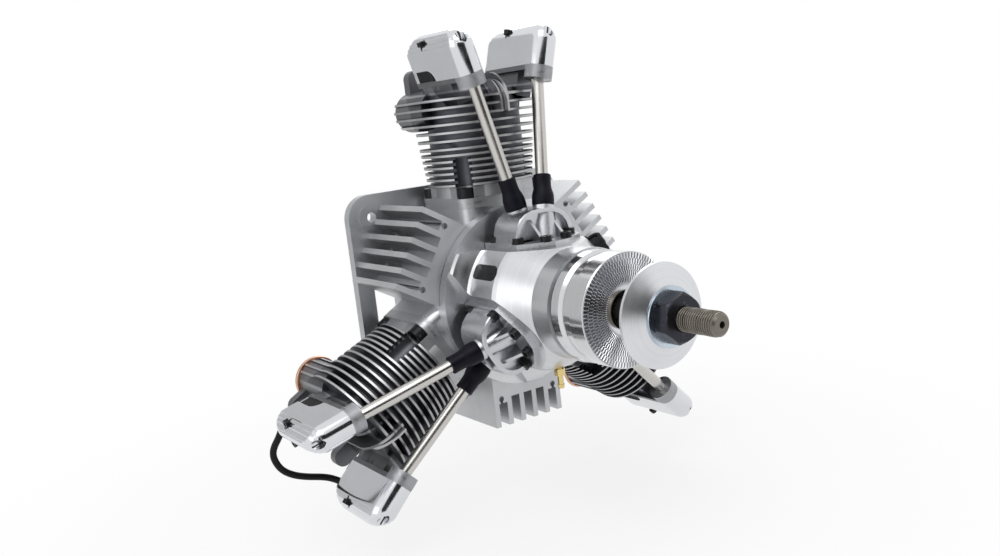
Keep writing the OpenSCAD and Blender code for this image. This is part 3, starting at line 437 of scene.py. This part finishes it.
def loft(build, rings, matrix, close_ends=True):
    """Skins rings of equal point count, and caps the first and last."""
    made = [[build.verts.new(matrix @ Vector(point)) for point in ring] for ring in rings]
    for lower, upper in zip(made, made[1:]):
        for i in range(len(lower)):
            j = (i + 1) % len(lower)
            build.faces.new((lower[i], lower[j], upper[j], upper[i]))
    if close_ends:
        build.faces.new(made[0][::-1])
        build.faces.new(made[-1])


def angles_of(count):
    return [math.tau * i / count for i in range(count)]


def revolve(build, profile, matrix, count=48):
    """Turns a closed profile of (height, radius) about z."""
    rings = [
        [(radius * math.cos(a), radius * math.sin(a), height) for a in angles_of(count)] for height, radius in profile
    ]
    loft(build, rings + rings[:1], matrix, close_ends=False)


def rounded_rectangle(length, width, radius, steps):
    """Outline about the origin, anticlockwise."""
    points = []
    for quarter, (i, j) in enumerate(((1, 1), (-1, 1), (-1, -1), (1, -1))):
        along, across = i * (length / 2 - radius), j * (width / 2 - radius)
        for step in range(steps + 1):
            angle = math.radians(90 * quarter + 90 * step / steps)
            points.append((along + radius * math.cos(angle), across + radius * math.sin(angle)))
    return points


def box_outline(length, width, radius, z, shift=0.0):
    """Rounded rectangle about the centre of a rocker box."""
    radius = min(radius, width / 2 - 0.01, length / 2 - 0.01)
    return [(BOX_MID_X + shift + u, v, z) for u, v in rounded_rectangle(length, width, radius, 10)]


# ---------------------------------------------------------------- rocker covers and boots
# Cover wall from its seam upward: height, inset of the ends, inset of the sides
COVER_WALL_STEPS = (
    (0.0, 0.0, 0.0), (0.3, 0.0, 0.0), (13.2, 0.0, 0.0), (14.6, 0.15, 0.08), (15.5, 0.5, 0.28), (15.6, 0.95, 0.6),
    (16.8, 1.35, 0.85), (17.6, 1.95, 1.2), (17.7, 2.45, 1.6), (18.7, 3.1, 1.95), (19.4, 4.0, 2.45), (19.5, 4.6, 2.85),
    (20.4, 5.9, 3.45), (21.1, 7.6, 4.2), (21.2, 8.3, 4.6), (21.8, 10.5, 5.4), (22.0, 12.5, 5.9),
)
# Seats of a cover's screws, and the radius of the pockets over them
COVER_SCREWS = (
    (BOX_REAR_X + 19.5, 1.6 - BOX_W / 2, COVER_H - 4.4), (BOX_REAR_X + 19.5, BOX_W / 2 - 1.6, COVER_H - 4.4),
    (BOX_REAR_X + BOX_L - 2.4, 0.0, COVER_H - 9.0),
)
POCKET_R = 2.3
# Roof of the cover's hollow under its crown, and the hollow's corner radius
COVER_ROOF, HOLLOW_CORNER = 6.6, 5.0
# Outline of the arched relief low on a cover's outer side, and its depth
RELIEF = ((24.0, -3.0),) + tuple(
    (37.4 + 6.2 * math.cos(a), -0.4 + 6.2 * math.sin(a)) for a in (math.radians(5 * i) for i in range(-4, 19))
) + ((24.0, 5.8),)
RELIEF_DEPTH = 0.8


def rocker_cover(build, matrix):
    """Hollow plated cover with a crown in soft steps, longer in its rear slope."""
    outer = [
        box_outline(BOX_L - 2 * ends, BOX_W - 2 * sides, BOX_CORNER - sides * 0.8, z, shift=ends * 0.12)
        for z, ends, sides in COVER_WALL_STEPS
    ]
    inner = [
        box_outline(BOX_L - 2 * COVER_WALL, BOX_W - 2 * COVER_WALL, HOLLOW_CORNER, z)
        for z in (COVER_H - COVER_ROOF, 0.0)
    ]
    loft(build, inner + outer, matrix)


def relief_block(build, matrix, side, outline, inner, outer):
    """Block on a cover's outer side, from one depth under its face to another."""
    depths = [side * (BOX_W / 2 - depth) for depth in (inner, outer)]
    loft(build, [[(x, y, z) for x, z in outline] for y in depths], matrix)


def cover_cuts(build, matrix, side):
    """Pockets over the cover screws, and the relief low on the outer side."""
    for x, y, seat in COVER_SCREWS:
        rings = [
            [(x + POCKET_R * math.cos(a), y + POCKET_R * math.sin(a), z) for a in angles_of(24)]
            for z in (seat, seat + 20)
        ]
        loft(build, rings, matrix)
    relief_block(build, matrix, side, RELIEF, RELIEF_DEPTH, -3)


def cut_away(name, build, cutter):
    """The first bmesh less the second, as a new bmesh."""
    holders = []
    for label, form in (("body", build), ("cutter", cutter)):
        bmesh.ops.remove_doubles(form, verts=form.verts, dist=1e-5)
        bmesh.ops.recalc_face_normals(form, faces=form.faces)
        mesh = bpy.data.meshes.new(f"{name}_{label}")
        form.to_mesh(mesh)
        form.free()
        holder = bpy.data.objects.new(mesh.name, mesh)
        scene.collection.objects.link(holder)
        holders.append(holder)
    modifier = holders[0].modifiers.new("cut", "BOOLEAN")
    modifier.operation, modifier.solver, modifier.object = "DIFFERENCE", "EXACT", holders[1]
    evaluated = holders[0].evaluated_get(bpy.context.evaluated_depsgraph_get())
    result = bmesh.new()
    result.from_mesh(bpy.data.meshes.new_from_object(evaluated))
    holders[0].modifiers.remove(modifier)
    for holder in holders:
        bpy.data.objects.remove(holder)
    return result


def make_covers():
    """Plated covers, and a black sheet in each of their reliefs as painted shade."""
    shade_outline = [(max(x, BOX_REAR_X + 6.5), max(z, 0.15)) for x, z in RELIEF]
    for number in CYLINDERS:
        build, cutter, shade = bmesh.new(), bmesh.new(), bmesh.new()
        for side in SIDES:
            matrix = box_frame(number, side)
            rocker_cover(build, matrix)
            cover_cuts(cutter, matrix, side)
            relief_block(shade, matrix, side, shade_outline, RELIEF_DEPTH + 0.2, RELIEF_DEPTH - 0.1)
        cut = cut_away(f"rocker_covers_{number}", build, cutter)
        piece = add_piece(f"rocker_covers_{number}_plated", cut, "chrome_cover")
        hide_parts(f"rocker_covers_{number}")
        # Black sheets in the reliefs: painted shade, not a part of the covers
        add_piece(f"relief_painted_shade_{number}", shade, "black_plastic")


# Boot from its seat upward: height, radius
BOOT_PROFILE = (
    (0.0, 3.12), (0.0, 5.0), (0.5, 5.35), (1.6, 5.5), (4.6, 5.45), (6.2, 5.2), (7.6, 4.75), (8.8, 4.45),
    (10.4, 4.32), (13.4, 4.3), (14.8, 4.38), (15.3, 4.3), (15.5, 4.05), (15.5, 3.12),
)


def make_boots():
    build = bmesh.new()
    for number in CYLINDERS:
        for side in SIDES:
            revolve(build, BOOT_PROFILE, line_frame(number, side, BOSS_TOP_R))
    piece = add_piece("tube_boots_moulded", build, "boot_rubber")
    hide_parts("tube_boots")


make_covers()
make_boots()


# ---------------------------------------------------------------- repeated forms from node trees
class Shape(Nodes):
    """A Geometry Nodes tree that is baked to a plain mesh."""

    def __init__(self, name, inputs):
        super().__init__(bpy.data.node_groups.new(name, "GeometryNodeTree"))
        self.name = name
        self.tree.interface.new_socket("Geometry", in_out="OUTPUT", socket_type="NodeSocketGeometry")
        self.values = {}
        for label, value in inputs.items():
            kind = "NodeSocketInt" if isinstance(value, int) else "NodeSocketFloat"
            item = self.tree.interface.new_socket(label, in_out="INPUT", socket_type=kind)
            self.values[item.identifier] = value
        self.entry = self.tree.nodes.new("NodeGroupInput")
        self.exit = self.tree.nodes.new("NodeGroupOutput")

    def size(self, label):
        return Socket(self, self.entry.outputs[label])

    def stand_along_shaft(self, geometry, start):
        """Turns a form's z axis to the crankshaft's, and moves it to its start."""
        return self.node("GeometryNodeTransform", inputs={
            "Geometry": geometry, "Rotation": (0.0, math.pi / 2, 0.0),
            "Translation": self.node("ShaderNodeCombineXYZ", inputs={0: start}),
        })

    def bake(self, geometry, slot, body):
        real = self.node("GeometryNodeRealizeInstances", inputs={"Geometry": geometry})
        material = FINISHES[slot].material
        done = self.node("GeometryNodeSetMaterial", inputs={"Geometry": real, "Material": material})
        self.feed(self.exit.inputs[0], done)
        holder = bpy.data.objects.new(self.name, bpy.data.meshes.new(self.name))
        scene.collection.objects.link(holder)
        modifier = holder.modifiers.new("shape", "NODES")
        modifier.node_group = self.tree
        for identifier, value in self.values.items():
            modifier[identifier] = value
        evaluated = holder.evaluated_get(bpy.context.evaluated_depsgraph_get())
        mesh = bpy.data.meshes.new_from_object(evaluated)
        holder.modifiers.remove(modifier)
        holder.data = mesh
        mesh.name = self.name
        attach(holder, body)


# Serrations: rings, teeth in each, share of a ring's width and of a tooth's pitch that is filled
TOOTH_RINGS, TEETH, TOOTH_FILL, TOOTH_SPREAD = 5, 92, 0.96, 0.48
RIDGE_R = 0.42


def make_serrations():
    """Rings of radial teeth on the driver face, every other ring turned by half a tooth."""
    width = (DRIVER_FACE_OUT - DRIVER_FACE_IN) / TOOTH_RINGS
    tooth_angle = TOOTH_SPREAD * math.tau / TEETH
    for ring in range(TOOTH_RINGS):
        inner = DRIVER_FACE_IN + ring * width
        outer = inner + width
        shape = Shape(f"driver_serration_{ring + 1}", {
            "Teeth": TEETH, "Outer end": outer * MM, "Length": width * TOOTH_FILL * MM,
            "Face": DRIVER_X * MM, "Phase": math.pi / TEETH * (ring % 2),
        })
        tooth = shape.node("GeometryNodeMeshCone", {"fill_type": "NGON"}, {
            "Vertices": 3, "Radius Top": tooth_angle * inner * MM, "Radius Bottom": tooth_angle * outer * MM,
            "Depth": shape.size("Length"),
        })
        laid = shape.node("GeometryNodeTransform", inputs={
            "Geometry": tooth, "Rotation": (0.0, -math.pi / 2, 0.0),
            "Translation": shape.node("ShaderNodeCombineXYZ", inputs={0: shape.size("Outer end")}),
        })
        places = shape.node("GeometryNodePoints", inputs={"Count": shape.size("Teeth")})
        index = shape.node("GeometryNodeInputIndex")
        angle = index * (math.tau / shape.size("Teeth")) + shape.size("Phase")
        copies = shape.node("GeometryNodeInstanceOnPoints", inputs={
            "Points": places, "Instance": laid,
            "Rotation": shape.node("ShaderNodeCombineXYZ", inputs={2: angle}),
        })
        real = shape.node("GeometryNodeRealizeInstances", inputs={"Geometry": copies})
        shape.bake(shape.stand_along_shaft(real, shape.size("Face")), "driver_silver", "crankshaft")


def make_thread():
    """Ridge of the shaft thread, swept along a helix."""
    turns = (THREAD_END - THREAD_START) / THREAD_PITCH
    shape = Shape("shaft_thread", {
        "Turns": turns, "Radius": THREAD_R * MM, "Length": turns * THREAD_PITCH * MM, "Start": THREAD_START * MM,
    })
    helix = shape.node("GeometryNodeCurveSpiral", inputs={
        "Resolution": 40, "Rotations": shape.size("Turns"), "Start Radius": shape.size("Radius"),
        "End Radius": shape.size("Radius"), "Height": shape.size("Length"),
    })
    ridge = shape.node("GeometryNodeCurvePrimitiveCircle", inputs={"Resolution": 4, "Radius": RIDGE_R * MM})
    swept = shape.node("GeometryNodeCurveToMesh", inputs={
        "Curve": helix, "Profile Curve": ridge, "Fill Caps": True,
    })
    shape.bake(shape.stand_along_shaft(swept, shape.size("Start")), "shaft_steel", "crankshaft")


make_serrations()
make_thread()


# ---------------------------------------------------------------- turned and cast detail
ALONG_X = Matrix.Rotation(math.pi / 2, 4, "Y")
# Front of the driver inside its teeth: place along the shaft, radius
DRIVER_LIP = (
    (138.25, 15.9), (138.25, 12.4), (138.0, 11.2), (137.4, 9.6), (136.6, 8.2), (134.5, 8.0), (134.5, 15.9),
)
# Hole in the driver's rim: place along the shaft and round it, radius, and the rim's radius
PIN_HOLE_X, PIN_HOLE_TURN, PIN_HOLE_R, RIM_R = 118.3, math.radians(-26), 2.1, 26.24
# Nut from its seat forward: place along the shaft, radius of the round that trims the hexagon
NUT_STEPS = (
    (165.72, 10.7), (166.2, 11.4), (171.2, 11.4), (171.7, 11.0), (172.2, 10.5), (172.6, 10.1), (172.9, 9.7),
)
NUT_BORE = ((172.9, 5.6), (172.4, 5.08), (165.72, 5.08))
NUT_R, NUT_TURN = 11.4, math.radians(12)
# Copper ring behind an exhaust lobe, in its cylinder's frame: the lobe's middle, the ring's profile
EXHAUST_LOBE = (20.0, 96.5)
EXHAUST_RING = (
    (0.5, 7.9), (0.3, 10.8), (0.6, 11.6), (1.1, 11.9), (2.2, 11.9), (2.7, 11.6), (2.9, 11.0), (2.9, 7.9),
)
# Arched fins between the rocker boxes, beside the ones that the solids have: offset, outline; thickness
HEAD_ARCHES = (
    (-3.2, ((36, 107.9), (52, 108), (55.5, 107.7), (57.2, 106.8), (58.5, 105.6), (60.2, 103.7), (61.2, 101.8),
            (62.2, 99.8), (62.7, 97.9), (62.7, 93), (36, 93))),
    (-1.7, ((36, 108.7), (50, 108.8), (53.6, 108.5), (56.6, 107.9), (59.1, 106.8), (61.6, 104.9), (63.4, 102.6),
            (64.9, 100.2), (65.8, 97.7), (65.8, 93), (36, 93))),
)
ARCH_T = 1.0
# Half outline of a tappet housing's wall: offset, height
TAPPET_WALL = ((17.1, 30), (16.9, 34), (15.6, 38), (13.4, 40.9), (10.4, 42.9), (6, 44.1), (0, 44.4))
TAPPET_FOOT_R, TAPPET_HALF_W = 30, 17
# The wall from its rear face to the floor of its hollow front: place along the shaft, inset
TAPPET_STEPS = ((62.4, 0.5), (62.9, 0.0), (81.5, 0.0), (81.9, 0.4), (81.9, 1.9), (78.7, 2.1))


def make_driver_lip():
    build = bmesh.new()
    revolve(build, DRIVER_LIP, ALONG_X, count=96)
    add_piece("driver_lip", build, "driver_silver", body="crankshaft")


def make_pin_hole_shade():
    """Black disc that lies on the driver's rim, bent round it: painted shade in place of a hole."""
    build = bmesh.new()
    outward = Vector((0, math.sin(PIN_HOLE_TURN), math.cos(PIN_HOLE_TURN)))
    turn = outward.to_track_quat("Z", "Y").to_matrix().to_4x4()
    foot = RIM_R - 1.24
    profile = [(foot, 0.01), (foot, PIN_HOLE_R)] + [(RIM_R, radius) for radius in (PIN_HOLE_R, 1.4, 0.7, 0.01)]
    revolve(build, profile, Matrix.Translation((PIN_HOLE_X, 0, 0)) @ turn, count=24)
    for vert in build.verts:
        height = math.hypot(vert.co.y, vert.co.z)
        if height > RIM_R - 0.24:
            vert.co.y, vert.co.z = vert.co.y * RIM_R / height, vert.co.z * RIM_R / height
    add_piece("driver_pin_hole_painted_shade", build, "black_plastic", body="crankshaft")


def make_nut():
    """Hexagon nut with its edges trimmed round, and its bore."""
    angles = angles_of(96)

    def ring(x, radii):
        return [(x, radius * math.sin(a), radius * math.cos(a)) for a, radius in zip(angles, radii)]

    def hexagon(angle):
        from_flat = (angle - NUT_TURN) % (math.pi / 3) - math.pi / 6
        return NUT_R * math.cos(math.pi / 6) / math.cos(from_flat)

    rings = [ring(x, [min(hexagon(a), trim) for a in angles]) for x, trim in NUT_STEPS]
    rings += [ring(x, [radius] * len(angles)) for x, radius in NUT_BORE]
    build = bmesh.new()
    loft(build, rings + rings[:1], Matrix.Identity(4), close_ends=False)
    piece = add_piece("prop_nut_hexagon", build, "gunmetal", body="crankshaft")
    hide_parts("prop_nut")


def make_exhaust_rings():
    build = bmesh.new()
    for number in CYLINDERS:
        matrix = cylinder_frame(number) @ Matrix.Translation((0, *EXHAUST_LOBE)) @ ALONG_X
        revolve(build, EXHAUST_RING, matrix)
    piece = add_piece("exhaust_rings_flanged", build, "copper")
    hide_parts("exhaust_rings")


def make_castings():
    """Arched head fins, and the walls that the pushrod boots stand on, hollowed in front."""
    fins, walls = bmesh.new(), bmesh.new()
    outline = list(TAPPET_WALL) + [(-t, r) for t, r in TAPPET_WALL[-2::-1]]
    wall_rings = [
        [(x, t * (1 - cut / TAPPET_HALF_W), r - cut * (r > TAPPET_FOOT_R)) for t, r in outline]
        for x, cut in TAPPET_STEPS
    ]
    for number in CYLINDERS:
        matrix = cylinder_frame(number)
        for middle, points in HEAD_ARCHES:
            loft(fins, [[(x, middle + side * ARCH_T / 2, z) for x, z in points] for side in SIDES], matrix)
        loft(walls, wall_rings, matrix)
    cast = cast_finish("head_arch_cast", (0.5, 0.5, 0.52), 0.36, 2400, 0.2)
    add_piece("head_arch_fins", fins, "cylinder_casting", material=cast.material)
    add_piece("tappet_walls", walls, "machined_silver")


make_driver_lip()
make_pin_hole_shade()
make_nut()
make_exhaust_rings()
make_castings()


# ---------------------------------------------------------------- nameplate
# Middle of the plate along the nose drum and round it, its length, width and corner radius
PLATE_X, PLATE_TURN = 72.4, math.radians(300.3)
PLATE_L, PLATE_W, PLATE_CORNER = 19.6, 7.6, 3.6
# Heights over the drum, and the share of the outline at each
PLATE_STEPS = ((-0.3, 1.0), (0.3, 1.0), (0.36, 0.98))


def make_nameplate():
    """Bare black plate, bent round the nose drum."""
    plate = Finish("plate_black_enamel", (0.01, 0.01, 0.011), 0.0, 0.22)
    plate.set("Specular IOR Level", 0.25)
    speck = plate.noise(300, 3.0)
    plate.set("Roughness", plate.remap(speck, 0.18, 0.32))
    plate.bump(speck, 0.05, 0.0001)
    build = bmesh.new()

    def bent(along, around, height):
        angle, radius = PLATE_TURN + around / DRUM_R, DRUM_R + height
        return build.verts.new((PLATE_X + along, radius * math.sin(angle), radius * math.cos(angle)))

    outline = rounded_rectangle(PLATE_L, PLATE_W, PLATE_CORNER, 8)
    layers = [[bent(u * share, v * share, height) for u, v in outline] for height, share in PLATE_STEPS]
    count = len(outline)
    for lower, upper in zip(layers, layers[1:]):
        for i in range(count):
            build.faces.new((lower[i], lower[(i + 1) % count], upper[(i + 1) % count], upper[i]))
    for layer, (height, share) in ((layers[0], PLATE_STEPS[0]), (layers[-1], PLATE_STEPS[-1])):
        middle = bent(0, 0, height)
        for i in range(count):
            build.faces.new((layer[i], layer[(i + 1) % count], middle))
    add_piece("nameplate", build, "black_plastic", material=plate.material)


make_nameplate()


# ---------------------------------------------------------------- hose
# Centre line in the frame of cylinder 3
HOSE_ROUTE = (
    (20.4, 22.8, 122.5), (18.4, 22.7, 124.8), (17.1, 21.7, 126.9), (16.1, 20, 129), (15.3, 18.2, 131.2),
    (14.4, 16.6, 133.6), (13.4, 15.2, 135.9), (12.5, 13.4, 137.9), (11.8, 11.1, 139.4), (11.2, 8.4, 140.2),
    (10.8, 5.5, 140.6), (10.6, 2.6, 140.6), (10.5, -0.2, 140), (10.6, -2.9, 138.9), (10.9, -5.4, 137.5),
    (11.2, -7.7, 135.8), (11.6, -9.9, 134), (12.1, -12, 132), (12.8, -14, 129.9), (13.7, -15.9, 128),
    (14.9, -17.8, 126.3), (16.6, -19.8, 125), (18.5, -21.7, 123.9), (20.4, -23.5, 122.8),
)
HOSE_D = 3.4


def make_hose():
    """Breather hose between the rocker boxes of cylinder 3, the part's only cord."""
    data = bpy.data.curves.new("breather_hose_rubber", "CURVE")
    data.dimensions = "3D"
    data.bevel_depth = HOSE_D / 2 * MM
    data.bevel_resolution = 5
    data.use_fill_caps = True
    data.resolution_u = 6
    spline = data.splines.new("NURBS")
    spline.points.add(len(HOSE_ROUTE) - 1)
    turn = cylinder_frame(3)
    points = [turn @ Vector(point) * MM for point in HOSE_ROUTE]
    for target, point in zip(spline.points, points):
        target.co = (*point, 1)
    spline.order_u = 4
    spline.use_endpoint_u = True
    piece = bpy.data.objects.new("breather_hose_rubber", data)
    scene.collection.objects.link(piece)
    data.materials.append(FINISHES["hose_rubber"].material)
    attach(piece, "crankcase")
    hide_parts("breather_hose")


make_hose()


# ---------------------------------------------------------------- studio
def add_area_light(name, place, target, size, power):
    data = bpy.data.lights.new(name, "AREA")
    data.shape = "RECTANGLE"
    data.size, data.size_y = size
    data.energy = power
    light = bpy.data.objects.new(name, data)
    light.location = place
    light.rotation_mode = "QUATERNION"
    light.rotation_quaternion = (Vector(target) - Vector(place)).to_track_quat("-Z", "Y")
    scene.collection.objects.link(light)


def make_world():
    """White to the camera and to reflections, a plain grey light on the object."""
    world = bpy.data.worlds.new("studio")
    scene.world = world
    world.use_nodes = True
    studio = Nodes(world.node_tree)
    background = studio.tree.nodes["Background"].inputs
    level = studio.node("ShaderNodeMapRange", None, {"Value": studio.seen_rays(), "To Min": 0.5, "To Max": 1.0})
    studio.feed(background["Strength"], level)
    studio.feed(background["Color"], (1, 1, 1, 1))


def make_floor():
    """Pale floor that keeps the shadow near the engine and fades into the white backdrop."""
    floor_z = cad_lo.z - 0.02
    build = bmesh.new()
    bmesh.ops.create_grid(build, x_segments=1, y_segments=1, size=4.0)
    bmesh.ops.translate(build, vec=(0, 0, floor_z), verts=build.verts)
    mesh = bpy.data.meshes.new("floor")
    build.to_mesh(mesh)
    build.free()
    floor = bpy.data.objects.new("floor", mesh)
    scene.collection.objects.link(floor)
    pale = Finish("floor_pale", (0.93, 0.93, 0.93), 0.0, 0.9)
    fleck = pale.noise(12, 2.0)
    pale.set("Base Color", pale.mix(pale.remap(fleck, 0.0, 1.0), (0.92, 0.92, 0.92), (0.94, 0.94, 0.94)))
    x, y, z = pale.axes()
    far = pale.step((x * x + y * y).root(), 0.08, 0.35)
    white = pale.node("ShaderNodeEmission", inputs={"Color": (1, 1, 1, 1), "Strength": 1.0})
    share = pale.seen_rays() * (far * 0.18 + 0.82)
    matt = Socket(pale, pale.shader.outputs[0])
    mixed = pale.node("ShaderNodeMixShader", inputs={0: share, 1: matt, 2: white})
    pale.feed(pale.tree.nodes["Material Output"].inputs["Surface"], mixed)
    mesh.materials.append(pale.material)


def make_card(name, bearing, distance, width, low, high, shade):
    """Studio card that shows only as a darker streak in polished metal."""
    angle = math.radians(bearing)
    centre = Vector((distance * math.cos(angle), distance * math.sin(angle), 0))
    aside = Vector((-math.sin(angle), math.cos(angle), 0)) * (width / 2)
    build = bmesh.new()
    corners = [centre - aside, centre + aside]
    build.faces.new([
        build.verts.new(Vector((p.x, p.y, z)))
        for p, z in ((corners[0], low), (corners[1], low), (corners[1], high), (corners[0], high))
    ])
    mesh = bpy.data.meshes.new(name)
    build.to_mesh(mesh)
    build.free()
    card = bpy.data.objects.new(name, mesh)
    scene.collection.objects.link(card)
    mesh.materials.append(Finish(name, (shade, shade, shade), 0.0, 1.0).material)
    card.visible_camera = False
    card.visible_diffuse = False
    card.visible_shadow = False
    card.visible_transmission = False


make_world()
make_floor()
make_card("dark_card_front", -13, 0.9, 1.0, -0.05, 0.5, 0.015)
make_card("grey_card_left", -150, 0.45, 0.7, -0.16, 0.45, 0.9)
add_area_light("key_light", (0.7, -0.6, 1.3), (0.05, 0, 0), (0.9, 0.9), 7.0)
add_area_light("fill_light", (0.1, -1.4, 0.4), (0.05, 0, 0), (1.0, 0.8), 2.5)
add_area_light("rim_light", (-0.9, 0.7, 0.8), (0.05, 0, 0), (0.7, 0.7), 3.0)

scene.view_settings.view_transform = "Standard"
